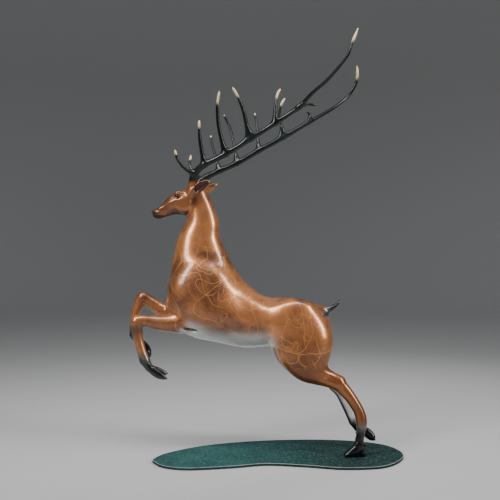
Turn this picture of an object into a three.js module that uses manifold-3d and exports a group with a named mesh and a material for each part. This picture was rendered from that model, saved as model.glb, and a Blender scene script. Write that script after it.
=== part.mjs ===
// A leaping stag in cast and patinated brass, standing by one hind hoof on a thin kidney-shaped base plate.
// Units are millimetres, +Z is up, and the stag faces -X. The origin is on the underside of the plate, at
// its middle. The stag is one casting: trunk, neck, head, ears, legs, hooves, tail and antlers.
import * as THREE from "three";
import { mergeVertices } from "three/addons/utils/BufferGeometryUtils.js";
import Module from "manifold-3d";

const wasm = await Module();
wasm.setup();

// Driving sizes
const figureHeight = 616; // from the top of the plate to the highest antler tip
const plateLength = 370;
const plateWidth = 188;
const plateThickness = 4;
const plateChamfer = 0.8; // eases both edges of the plate
const hoofFromEnd = 74; // the planted hoof's distance from the plate's rear end
const hoofFromSide = 68; // and from its near side

// The figure is described in shares of its height: the numbers in the chains below are millimetres on a
// figure of drawnHeight, and figureScale brings them to the real one.
const drawnHeight = 616;
const figureScale = figureHeight / drawnHeight;
const hindSpacing = 26; // how far the legs stand from the figure's middle plane
const foreSpacing = 21;

const patinaBrown = new THREE.MeshStandardMaterial({ color: 0x9a5426, roughness: 0.3, metalness: 0.6 });
const patinaGreen = new THREE.MeshStandardMaterial({ color: 0x3a7d70, roughness: 0.55, metalness: 0.5 });

// Fills in stations between the given ones, with a Catmull-Rom spline through each value of a station
function smoothStations(stations, steps) {
  const dense = [];
  const last = stations.length - 1;
  for (let i = 0; i < last; i++) {
    const [from, to] = [stations[i], stations[i + 1]];
    const before = stations[Math.max(i - 1, 0)];
    const after = stations[Math.min(i + 2, last)];
    for (let step = 0; step < steps; step++) {
      const t = step / steps;
      dense.push(from.map((value, k) => {
        const slopeFrom = (to[k] - before[k]) / 2;
        const slopeTo = (after[k] - value) / 2;
        return (2 * t ** 3 - 3 * t ** 2 + 1) * value + (t ** 3 - 2 * t ** 2 + t) * slopeFrom +
          (3 * t ** 2 - 2 * t ** 3) * to[k] + (t ** 3 - t ** 2) * slopeTo;
      }));
    }
  }
  dense.push(stations[last]);
  return dense;
}

// A closed mesh as a solid that can be joined and cut
function solidOf(geometry) {
  const bare = geometry.clone();
  bare.deleteAttribute("normal");
  bare.deleteAttribute("uv");
  const merged = mergeVertices(bare);
  return new wasm.Manifold(new wasm.Mesh({
    numProp: 3,
    vertProperties: new Float32Array(merged.attributes.position.array),
    triVerts: new Uint32Array(merged.index.array),
  }));
}

const join = (solids) => solids.reduce((whole, solid) => whole.add(solid));
const toFigureSize = (geometry) => geometry.scale(figureScale, figureScale, figureScale);

// The triangles that close a stack of rings between two end points
function closedSkin(rings, startPole, endPole) {
  const sides = rings[0].length;
  const points = [startPole, ...rings.flat(), endPole];
  const at = (ring, j) => 1 + ring * sides + (j % sides);
  const end = points.length - 1;
  const index = [];
  for (let j = 0; j < sides; j++) {
    index.push(0, at(0, j), at(0, j + 1));
    for (let ring = 0; ring + 1 < rings.length; ring++) {
      index.push(at(ring, j), at(ring + 1, j), at(ring + 1, j + 1));
      index.push(at(ring, j), at(ring + 1, j + 1), at(ring, j + 1));
    }
    index.push(end, at(rings.length - 1, j + 1), at(rings.length - 1, j));
  }
  const skin = new THREE.BufferGeometry();
  const coordinates = points.flatMap((point) => point.toArray());
  skin.setAttribute("position", new THREE.Float32BufferAttribute(coordinates, 3));
  skin.setIndex(index);
  return toFigureSize(skin);
}

// A limb: oval rings along a smooth spine, with a rounded cap at each end. A station is
// [x, y, z, half depth, half width], where the width is measured across the figure.
function limb(stations, { sides = 10, steps = 1, capRings = 1 } = {}) {
  const dense = smoothStations(stations, steps);
  const centres = dense.map(([x, y, z]) => new THREE.Vector3(x, y, z));
  const last = dense.length - 1;
  const across = new THREE.Vector3(0, 1, 0);
  const tangentAt = (i) => {
    const ahead = centres[Math.min(i + 1, last)].clone();
    return ahead.sub(centres[Math.max(i - 1, 0)]).normalize();
  };
  const ring = (i, turn, outward) => {
    const tangent = tangentAt(i);
    const side = across.clone().addScaledVector(tangent, -across.dot(tangent)).normalize();
    const up = tangent.clone().cross(side);
    const [depth, width] = dense[i].slice(3).map((half) => half * Math.cos(turn));
    const centre = centres[i].clone().addScaledVector(tangent, outward * dense[i][3] * Math.sin(turn));
    return Array.from({ length: sides }, (_, j) => {
      const angle = (2 * Math.PI * j) / sides;
      const point = centre.clone().addScaledVector(up, depth * Math.cos(angle));
      return point.addScaledVector(side, width * Math.sin(angle));
    });
  };
  const capTurns = Array.from({ length: capRings }, (_, k) => (Math.PI / 2) * ((k + 1) / (capRings + 1)));
  const rings = [
    ...[...capTurns].reverse().map((turn) => ring(0, turn, -1)),
    ...dense.map((_, i) => ring(i, 0, 0)),
    ...capTurns.map((turn) => ring(last, turn, 1)),
  ];
  const startPole = centres[0].clone().addScaledVector(tangentAt(0), -dense[0][3]);
  const endPole = centres[last].clone().addScaledVector(tangentAt(last), dense[last][3]);
  return solidOf(closedSkin(rings, startPole, endPole));
}

// Stations of a limb that stays at one distance y from the middle plane. Each is written as
// [x, z, radius], with the width as a share of the radius after it where it isn't the limb's own.
const inPlane = (y, share, stations) => stations.map(([x, z, r, w = share]) => [x, y, z, r, r * w]);

// A small ellipsoid, such as an eye or a dewclaw, by its centre and its three half sizes
function bead([x, y, z], [halfX, halfY, halfZ]) {
  const ball = new THREE.SphereGeometry(1, 7, 5).scale(halfX, halfY, halfZ).translate(x, y, z);
  return solidOf(toFigureSize(ball));
}

function trunkAndNeck() {
  const barrel = inPlane(0, 0.8, [
    [-73, 186, 41, 0.74],
    [-95, 193, 39.5, 0.78],
    [-125, 197, 37, 0.84],
    [-159, 199.5, 41.5, 0.84],
    [-190, 213, 49, 0.78],
    [-219, 228, 58.5, 0.66],
  ]);
  const withers = inPlane(0, 0.7, [
    [-165, 211, 35.5, 0.8],
    [-186, 225, 36],
    [-208, 244, 39],
    [-226, 276, 40, 0.62],
  ]);
  const neck = inPlane(0, 0.6, [
    [-221, 237, 57, 0.62],
    [-228, 274, 43.5, 0.58],
    [-231, 311, 33.5, 0.6],
    [-229, 326, 28, 0.64],
    [-225.5, 342, 23.8, 0.68],
    [-228, 364, 19, 0.74],
    [-233, 384, 15.8, 0.82],
  ]);
  return [
    limb(barrel, { sides: 18, steps: 2, capRings: 2 }),
    limb(withers, { sides: 14 }),
    limb(neck, { sides: 16, capRings: 2 }),
  ];
}

function head() {
  const skull = inPlane(0, 0.85, [
    [-235, 385, 15],
    [-248, 379.5, 17, 0.82],
    [-265, 374.5, 14.7],
    [-277.5, 367, 10.6],
    [-288, 360.5, 8.2, 0.92],
    [-295, 358, 6.8, 0.95],
  ]);
  const jaw = inPlane(0, 0.7, [[-238, 371, 14.5], [-252, 368, 12.5], [-266, 367, 9.8], [-279, 362, 7]]);
  const eyesAndBrows = [-1, 1].flatMap((side) => [
    bead([-262, side * 11.2, 384.5], [3, 2.2, 2.6]),
    bead([-259, side * 10, 388.5], [6, 3, 2.2]),
  ]);
  return [limb(skull, { sides: 14, steps: 2 }), limb(jaw), ...eyesAndBrows];
}

// A cupped leaf, open to the outside, from its root to its tip. Its hollow is the same leaf, smaller and
// moved outward.
function ear(side, root, middle, tip) {
  const hollowShare = 0.72;
  const hollowShift = 2.4;
  const leaf = (share, shift) => {
    const stations = [[...root, 3, 2.6], [...middle, 6, 2.8], [...tip, 1.2, 0.9]];
    const placed = stations.map(([x, y, z, depth, width]) => {
      return [x, side * (y + shift), z, depth * share, width * share];
    });
    return limb(placed, { sides: 8, steps: 2 });
  };
  return leaf(1, 0).subtract(leaf(hollowShare, hollowShift));
}

function tail() {
  const stations = [
    [-62, 212, 6.5],
    [-48, 216, 5.2],
    [-39, 215.5, 4.6],
    [-30, 218.5, 3.4],
    [-23, 224, 2],
    [-20, 228, 0.9],
  ];
  return limb(inPlane(0, 1, stations), { sides: 7 });
}

// A cloven hoof: two pointed toes side by side, which part further from the leg's own plane toward the
// tip. Stations of a toe are [x, z, radius, lift], and one toe is lifted while the other is lowered.
function hoof(y, toe) {
  const coronetGap = 2.6;
  const tipGap = 4.6;
  const widest = 4.4;
  return [-1, 1].map((side) => {
    const stations = toe.map(([x, z, r, lift = 0], i) => {
      const spread = coronetGap + ((tipGap - coronetGap) * i) / (toe.length - 1);
      return [x, y + side * spread, z + side * lift, r, Math.min(r, widest)];
    });
    return limb(stations, { sides: 7 });
  });
}

function dewclaws([x, y, z]) {
  const apart = 3.6;
  return [-1, 1].map((side) => bead([x, y + side * apart, z], [2.3, 2, 2.8]));
}

// The standing leg, whose hoof is cut flat where it meets the plate
function nearHindLeg() {
  const y = -hindSpacing;
  const thighInset = 2;
  const thigh = inPlane(y + thighInset, 0.62, [
    [-86, 198, 34, 0.5],
    [-76, 172, 42, 0.54],
    [-73, 154, 36.5],
    [-69, 142, 28],
  ]);
  const gaskin = inPlane(y, 0.75, [
    [-88, 152, 23],
    [-72, 134, 22.5],
    [-57, 123, 17],
    [-41, 115, 12.8, 0.7],
    [-24, 108, 10.8],
  ]);
  const cannon = inPlane(y, 0.85, [
    [-25, 108, 10.6, 0.72],
    [-16, 98, 9.8, 0.72],
    [-6, 86, 8.5],
    [5.5, 67, 8.4],
    [9.5, 51, 8.4, 0.95],
    [8.8, 36, 6.5, 1],
    [6, 24, 6.9, 1],
  ]);
  const foot = join([
    ...hoof(y, [[6, 18, 7], [4, 9.5, 9.8], [-5, 5.5, 6.6], [-13.5, 3, 3]]),
    bead([9, y, 4], [6.4, 6.6, 7]),
    ...dewclaws([12.6, y, 17]),
  ]);
  const belowSole = new THREE.BoxGeometry(80, 60, 30).translate(0, y, -15);
  return [
    limb(thigh, { sides: 12, steps: 2 }),
    limb(gaskin),
    limb(cannon, { sides: 9 }),
    foot.subtract(solidOf(toFigureSize(belowSole))),
  ];
}

// The raised leg, curled back so that its toes hang over the plate
function farHindLeg() {
  const y = hindSpacing;
  const thighInset = 2;
  const thigh = inPlane(y - thighInset, 0.62, [
    [-94, 197, 33, 0.5],
    [-86, 170, 38.5, 0.54],
    [-80, 147, 31],
    [-76, 136, 25],
  ]);
  const gaskin = inPlane(y, 0.75, [[-90, 147, 23], [-70, 127, 21], [-54, 117.5, 15], [-34, 108.5, 11.6, 0.7]]);
  const cannon = inPlane(y, 0.85, [
    [-35, 109, 11.4, 0.72],
    [-25.5, 98, 10.2, 0.74],
    [-16, 87, 9.1],
    [-6, 67, 8.6],
    [4.5, 43, 8.2, 0.95],
  ]);
  const pastern = inPlane(y, 1, [[4.5, 42.5, 7.8], [12, 31, 6.5], [22, 26.5, 6.4]]);
  return [
    limb(thigh, { sides: 12, steps: 2 }),
    limb(gaskin),
    limb(cannon, { sides: 9 }),
    limb(pastern, { sides: 9 }),
    ...hoof(y, [[22, 27, 6.8], [29, 21, 6.6], [34.5, 15.5, 2.4]]),
    ...dewclaws([10, y, 25]),
  ];
}

function nearForeLeg() {
  const y = -foreSpacing;
  const shoulderInset = 4;
  const shoulder = inPlane(y + shoulderInset, 0.6, [
    [-226, 246, 30, 0.5],
    [-233, 226, 27],
    [-246, 207, 18],
    [-261, 196, 13.4, 0.8],
  ]);
  const forearm = inPlane(y, 0.8, [
    [-259, 196, 13.4],
    [-280, 196, 12],
    [-295, 197.5, 10.6],
    [-309.5, 199, 9.2],
    [-321, 198, 9.6],
  ]);
  const cannon = inPlane(y, 0.9, [
    [-321.5, 197.5, 9.6],
    [-321.4, 184, 8.4],
    [-319, 170, 7.3],
    [-314, 152.5, 7.3],
    [-310, 141, 8],
  ]);
  const pastern = inPlane(y, 1, [[-310, 141, 7.4], [-303.5, 130.5, 6.5], [-297, 126, 6.2]]);
  return [
    limb(shoulder, { steps: 2 }),
    limb(forearm),
    limb(cannon, { sides: 9 }),
    limb(pastern, { sides: 9 }),
    ...hoof(y, [[-297, 126, 6.4, 0.5], [-288, 121.5, 6, 1.5], [-278, 118, 2.2, 3]]),
    ...dewclaws([-301.5, y, 136.5]),
  ];
}

function farForeLeg() {
  const y = foreSpacing;
  const shoulderInset = 4;
  const shoulder = inPlane(y - shoulderInset, 0.6, [[-236, 240, 28, 0.5], [-246, 220, 24], [-266, 206, 14.5, 0.8]]);
  const forearm = inPlane(y, 0.85, [[-264, 206, 14], [-289, 213.5, 10.8], [-303, 222.5, 9.8], [-317, 230.5, 9.6]]);
  const cannon = inPlane(y, 0.9, [
    [-317.5, 231, 9.5],
    [-322.5, 224, 8.6],
    [-328, 209.5, 7.2],
    [-331, 190, 6.9],
    [-330.5, 174.5, 7.4],
  ]);
  const pastern = inPlane(y, 1, [[-330.4, 174.5, 7], [-323.5, 164, 6.2], [-317.5, 159, 5.9]]);
  return [
    limb(shoulder, { steps: 2 }),
    limb(forearm),
    limb(cannon, { sides: 9 }),
    limb(pastern, { sides: 9 }),
    ...hoof(y, [[-318, 160, 6.2, 0.3], [-312, 151.5, 5.8, 0.6], [-307, 143.5, 2.2, 1]]),
    ...dewclaws([-321.5, y, 169]),
  ];
}

// A tine grows out of the beam with a flared root, thins, swells a little and ends in a blunt point. A
// short one has fewer points, and leaves out the widest radii.
function tine(points) {
  const radii = [5.6, 3.1, 2.5, 2.4, 1.2].slice(-points.length);
  return limb(points.map((point, i) => [...point, radii[i], radii[i]]), { sides: 6 });
}

// An antler: a round beam through [x, y, z, radius] stations, and its tines through [x, y, z] points
const antler = (beam, tines) => [
  limb(beam.map(([x, y, z, r]) => [x, y, z, r, r]), { sides: 7 }),
  ...tines.map(tine),
];

function nearAntler() {
  const beam = [
    [-242, -8, 390, 6.6],
    [-240, -10, 402, 5.8],
    [-239, -12, 412, 5.3],
    [-234, -16, 420, 5.3],
    [-221, -22, 430, 4.4],
    [-192, -27, 444, 4.3],
    [-155, -32, 466, 4.1],
    [-118, -36, 489, 3.7],
    [-84, -45, 511, 3.5],
    [-65, -58, 529, 2.8],
    [-43, -73, 547, 2.5],
    [-19, -88, 575, 2.2],
    [-11, -89, 595, 2.2],
    [-3, -88, 615, 1],
  ];
  const tines = [
    [[-236, -14, 417], [-245, -17, 421], [-255, -20, 429], [-262, -22, 439], [-265, -24, 450]],
    [[-222, -21, 430], [-225, -24, 446], [-228, -27, 465], [-229, -29, 480], [-229, -30, 493]],
    [[-190, -27, 445], [-196, -29, 465], [-201, -32, 491], [-202, -35, 517], [-199, -36, 535]],
    [[-154, -32, 467], [-159, -36, 485], [-164, -41, 506], [-171, -45, 524], [-179, -48, 538]],
    [[-118, -36, 489], [-118, -36, 504], [-117, -35, 518], [-114.5, -33, 531], [-110.5, -32, 539]],
    [[-84, -45, 511], [-76, -43, 515], [-67, -40, 516], [-58, -38, 514.5]],
  ];
  return antler(beam, tines);
}

function farAntler() {
  const beam = [
    [-236, 8, 390, 6.6],
    [-232, 12, 401, 5.9],
    [-230, 14, 408, 5.4],
    [-221, 17, 414.5, 5.2],
    [-202.5, 23, 424, 4.4],
    [-174, 28, 437, 4.4],
    [-142, 33, 456, 4.3],
    [-104, 37, 477, 4],
    [-64, 46, 502, 3.6],
    [-24, 75, 528, 2.7],
    [0, 90, 548, 2.4],
    [13, 92, 566, 2.3],
    [16.7, 90, 584, 2.4],
    [16.5, 88, 597, 1.1],
  ];
  const tines = [
    [[-229, 14, 409], [-237, 19, 419], [-244, 23, 428], [-247, 26, 437], [-244.5, 28, 448]],
    [[-201, 23, 425], [-205, 27, 439], [-209, 31, 453], [-213, 34, 468], [-215, 36, 479]],
    [[-174, 28, 437], [-178, 33, 460], [-182, 38, 481], [-188, 42, 499], [-194.5, 44, 513]],
    [[-141, 33, 457], [-142, 39, 475], [-143, 44, 491], [-145, 48, 505], [-147, 50, 516]],
    [[-104, 37, 477], [-106, 37, 498], [-109, 37, 512], [-107, 36, 526], [-101.5, 36, 536.5]],
    [[-64, 46, 502], [-61.5, 45, 509], [-63, 44, 515.5], [-67, 44, 518.5]],
  ];
  return antler(beam, tines);
}

function stag() {
  const solid = join([
    ...trunkAndNeck(),
    ...head(),
    ear(-1, [-239, 13, 390], [-227, 21, 397.5], [-215.5, 25, 403.5]),
    ear(1, [-236, 13, 388], [-222, 21, 395.5], [-207.5, 25, 403.5]),
    tail(),
    ...nearHindLeg(),
    ...farHindLeg(),
    ...nearForeLeg(),
    ...farForeLeg(),
    ...nearAntler(),
    ...farAntler(),
  ]);
  const { numProp, vertProperties, triVerts } = solid.getMesh();
  const geometry = new THREE.BufferGeometry();
  geometry.setAttribute("position", new THREE.Float32BufferAttribute(vertProperties, numProp));
  geometry.setIndex(new THREE.Uint32BufferAttribute(triVerts, 1));
  geometry.computeVertexNormals();
  const mesh = new THREE.Mesh(geometry, patinaBrown);
  mesh.name = "stag";
  const hoofX = plateLength / 2 - hoofFromEnd;
  const hoofY = -plateWidth / 2 + hoofFromSide;
  mesh.position.set(hoofX, hoofY + hindSpacing * figureScale, plateThickness);
  return mesh;
}

// The plate: two round lobes, with a shallow waist on the near side. The outline's points are shares of
// half the plate's length and half its width, and its smooth edge is brought to exactly that size.
function basePlate() {
  const edgePoints = 80;
  const shares = [
    [-0.995, -0.49], [-0.9, 0], [-0.59, 0.57], [-0.1, 0.94], [0.48, 0.99], [0.88, 0.64], [1, -0.1],
    [0.82, -0.82], [0.5, -0.98], [0.2, -0.82], [-0.1, -0.71], [-0.37, -0.87], [-0.66, -1], [-0.88, -0.86],
  ].map(([x, y]) => new THREE.Vector3(x, y, 0));
  const edge = new THREE.CatmullRomCurve3(shares, true, "catmullrom").getSpacedPoints(edgePoints).slice(1);
  const box = new THREE.Box3().setFromPoints(edge);
  const size = box.getSize(new THREE.Vector3());
  const middle = box.getCenter(new THREE.Vector3());
  const shape = new THREE.Shape(edge.map((point) => new THREE.Vector2(
    ((point.x - middle.x) * plateLength) / size.x,
    ((point.y - middle.y) * plateWidth) / size.y,
  )));
  const plate = new THREE.ExtrudeGeometry(shape, {
    depth: plateThickness - 2 * plateChamfer,
    bevelThickness: plateChamfer,
    bevelSize: plateChamfer,
    bevelOffset: -plateChamfer,
    bevelSegments: 1,
  });
  plate.translate(0, 0, plateChamfer);
  const mesh = new THREE.Mesh(plate, patinaGreen);
  mesh.name = "base_plate";
  return mesh;
}

const sculpture = new THREE.Group();
sculpture.add(stag(), basePlate());
export default sculpture;
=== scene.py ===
"""Dresses a leaping stag in patinated brass, which stands by one hind hoof on a thin kidney-shaped plate.

The stag is one casting, so it is one piece: its forms are blended into a single skin, with the face,
ears, cloven hooves and webbed antlers worked into it. Lengths of the figure are in millimetres from the
planted hoof, as a modeller would measure them, and are brought to metres in the frame when a mesh is made.
"""

import logging
import math
from dataclasses import dataclass, field
from enum import Enum
from typing import Any, Iterable, Protocol, Sequence

import bpy
import numpy as np
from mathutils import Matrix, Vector

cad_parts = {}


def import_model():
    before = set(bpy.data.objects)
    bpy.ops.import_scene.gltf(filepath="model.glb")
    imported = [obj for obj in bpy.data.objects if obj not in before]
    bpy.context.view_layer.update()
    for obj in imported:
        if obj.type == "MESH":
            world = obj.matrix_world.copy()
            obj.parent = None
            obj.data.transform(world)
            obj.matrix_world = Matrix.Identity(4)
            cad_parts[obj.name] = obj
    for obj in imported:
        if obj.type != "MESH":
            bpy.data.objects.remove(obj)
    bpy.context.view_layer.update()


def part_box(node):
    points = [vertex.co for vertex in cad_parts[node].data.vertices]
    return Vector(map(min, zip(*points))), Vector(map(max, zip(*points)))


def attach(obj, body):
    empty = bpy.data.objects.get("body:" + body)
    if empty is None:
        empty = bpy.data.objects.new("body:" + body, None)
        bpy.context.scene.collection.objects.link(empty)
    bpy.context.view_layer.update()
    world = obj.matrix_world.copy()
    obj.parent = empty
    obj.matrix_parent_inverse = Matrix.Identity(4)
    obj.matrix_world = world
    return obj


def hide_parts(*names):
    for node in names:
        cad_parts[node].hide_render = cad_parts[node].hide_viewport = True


LOG = logging.getLogger("stag_sculpture")

Array = np.ndarray
Colour = tuple[float, float, float]
Point = tuple[float, float, float]
SIDES = (-1, 1)  # the camera's side of the stag, and the other

MM = 0.001
FAR = 9.0  # mm, how far outside a form its distance still counts
LEAST_SLOPE = 0.05  # the least squared slope that a point is moved by, so that none is thrown far
HIND_SPACING = 26.0  # mm, how far each hind leg stands from the middle plane
FORE_SPACING = 21.0  # and each foreleg
HOOF_FROM_END = 0.074  # m, the planted hoof's distance from the plate's rear end
HOOF_FROM_SIDE = 0.068  # and from its near side


class Side(Enum):
    """The stag's two sides, by the sign of their y."""

    NEAR = -1
    FAR = 1


class Region(Enum):
    """The parts of the skin that take a colour of their own, or painted shade, by the name of their
    attribute.
    """

    PALE = "pale"
    SOCK = "sock"
    # the dark muzzle, ears and eyes, with painted shade under and behind the jaw
    DARK = "dark"
    ANTLER = "antler"
    TIP = "tip"
    COAT = "coat"


def smooth_step(value: Array, start: float, end: float) -> Array:
    """A soft step.

    Args:
        value: the numbers to judge.
        start: where the result is 0.
        end: where it is 1, which may lie below start.

    Returns:
        Numbers from 0 to 1.
    """
    share = np.clip((value - start) / (end - start), 0.0, 1.0)
    return share * share * (3.0 - 2.0 * share)


def smooth_stations(stations: Sequence[Sequence[float]], steps: int) -> Array:
    """Fills in stations with a Catmull-Rom spline through each of their values.

    Args:
        stations: the chosen stations.
        steps: how many stretches each gap is parted into.

    Returns:
        One row for each station, the given ones among them.
    """
    given = np.array(stations, dtype=float)
    padded = np.vstack([given[0], given, given[-1]])
    rows = []
    for i in range(1, len(given)):
        before, start, end, after = padded[i - 1 : i + 3]
        for step in range(steps):
            t = step / steps
            rows.append(
                (2 * t**3 - 3 * t**2 + 1) * start
                + (t**3 - 2 * t**2 + t) * (end - before) / 2
                + (3 * t**2 - 2 * t**3) * end
                + (t**3 - t**2) * (after - start) / 2
            )
    rows.append(given[-1])
    return np.array(rows)


def link_object(name: str, data: Any) -> bpy.types.Object:
    """Makes an object of a mesh, curve, light or camera, and links it into the scene."""
    made = bpy.data.objects.new(name, data)
    bpy.context.scene.collection.objects.link(made)
    return made


def evaluated_mesh(draft: bpy.types.Object) -> bpy.types.Mesh:
    """An object's mesh as its modifiers leave it."""
    evaluated = draft.evaluated_get(bpy.context.evaluated_depsgraph_get())
    return bpy.data.meshes.new_from_object(evaluated)


class Form(Protocol):
    """A form of the figure that is blended into its skin, or carved out of it."""

    blend: float
    carve: bool

    def reach(self) -> tuple[Array, Array]:
        """The lowest and highest corner of the box that the form fills."""

    def distance(self, points: Array) -> Array:
        """The distance of each point from the form's skin, negative inside."""


@dataclass
class Limb:
    """A round or flattened limb along a smooth spine.

    Its stations are (x, y, z, radius, width), where the width is a share of the radius, across the figure.
    """

    stations: Sequence[Sequence[float]]
    blend: float = 3.0
    carve: bool = False
    steps: int = 6
    dense: Array = field(init=False)

    def __post_init__(self) -> None:
        """Fills in the stations of the spine."""
        self.dense = smooth_stations(self.stations, self.steps)

    def reach(self) -> tuple[Array, Array]:
        """The lowest and highest corner of the box that the limb fills."""
        centres = self.dense[:, :3]
        radii = self.dense[:, 3:4]
        return (centres - radii).min(axis=0), (centres + radii).max(axis=0)

    def distance(self, points: Array) -> Array:
        """The distance of each point from the limb's skin, negative inside."""
        best = np.full(len(points), 1e3, dtype=np.float32)
        for start, end in zip(self.dense[:-1], self.dense[1:]):
            along = end[:3] - start[:3]
            from_start = points - start[:3].astype(np.float32)
            share = np.clip(from_start @ along.astype(np.float32) / (along @ along), 0.0, 1.0)
            gap = from_start - share[:, None] * along.astype(np.float32)
            radius = start[3] + share * (end[3] - start[3])
            width = start[4] + share * (end[4] - start[4])
            across = gap[:, 1] / width
            away = np.sqrt(gap[:, 0] ** 2 + across**2 + gap[:, 2] ** 2) - radius
            np.minimum(best, away.astype(np.float32), out=best)
        return best


@dataclass
class Bead:
    """An ellipsoid, turned by an angle in the figure's middle plane."""

    centre: Point
    halves: Point
    tilt: float = 0.0
    blend: float = 2.0
    carve: bool = False

    def reach(self) -> tuple[Array, Array]:
        """The lowest and highest corner of a box that holds the bead however it is turned."""
        most = max(self.halves)
        return np.array(self.centre) - most, np.array(self.centre) + most

    def distance(self, points: Array) -> Array:
        """The distance of each point from the bead's skin, negative inside."""
        turn = math.radians(self.tilt)
        gap = points - np.array(self.centre, dtype=np.float32)
        along = gap[:, 0] * math.cos(turn) + gap[:, 2] * math.sin(turn)
        above = -gap[:, 0] * math.sin(turn) + gap[:, 2] * math.cos(turn)
        a, b, c = self.halves
        share = np.sqrt((along / a) ** 2 + (gap[:, 1] / b) ** 2 + (above / c) ** 2)
        slope = np.sqrt((along / a**2) ** 2 + (gap[:, 1] / b**2) ** 2 + (above / c**2) ** 2)
        return share * (share - 1.0) / np.maximum(slope, 1.0 / max(self.halves) ** 2)


def in_plane(y: float, width: float, stations: Iterable[Sequence[float]]) -> list[tuple[float, ...]]:
    """Stations of a limb that stays at one distance from the middle plane.

    Args:
        y: that distance.
        width: the limb's width as a share of its radius.
        stations: (x, z, radius), or (x, z, radius, width) where the width is another.

    Returns:
        Stations of a Limb.
    """
    return [(s[0], y, s[1], s[2], s[3] if len(s) > 3 else width) for s in stations]


def spread(stations: Iterable[Sequence[float]], side: int, width: float = 1.0) -> list[tuple[float, ...]]:
    """Stations (x, y, z, radius) with their y on one side, as stations of a Limb."""
    return [(x, side * y, z, radius, width) for x, y, z, radius in stations]


@dataclass
class Trunk:
    """Barrel, withers, neck, shoulders, brisket and tail."""

    shoulder_blend: float = 19.0

    def forms(self) -> list[Form]:
        """The trunk's forms, in the order in which they are blended."""
        barrel = in_plane(0, 0.8, [
            (-73, 186, 41, 0.72), (-95, 193, 39.5, 0.76), (-125, 197, 37, 0.83), (-159, 199.5, 41.5, 0.84),
            (-190, 213, 49, 0.76), (-219, 228, 58, 0.62),
        ])
        neck = in_plane(0, 0.6, [
            (-221, 237, 56, 0.6), (-228, 274, 43.5, 0.57), (-231, 311, 33, 0.6), (-229, 326, 28, 0.63),
            (-225.5, 342, 24, 0.67), (-228, 364, 19.2, 0.72), (-233, 382, 15.8, 0.8),
        ])
        withers = in_plane(0, 0.66, [
            (-165, 211, 35.5, 0.8), (-186, 225, 36), (-208, 244, 38), (-226, 276, 38, 0.6),
        ])
        tail = in_plane(0, 1, [
            (-62, 211, 8), (-50, 214.5, 6.8), (-38, 214.5, 5.5), (-30, 217.8, 4.0), (-23, 223.4, 2.4),
            (-19.5, 229, 1.0),
        ])
        muscles = [
            form
            for side in SIDES
            for form in (
                Bead((-229, side * 21, 233), (41, 15.5, 47), tilt=12, blend=self.shoulder_blend),
                Bead((-200, side * 27, 212), (30, 13, 20), tilt=-14, blend=14),
                Bead((-112, side * 22, 199), (24, 13, 24), blend=14),
            )
        ]
        return [
            Limb(barrel, blend=4),
            Limb(withers, blend=8),
            Limb(neck, blend=14),
            *muscles,
            Bead((-250, 0, 199), (17, 13, 14), blend=10),
            Limb(tail, blend=7),
        ]


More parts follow.
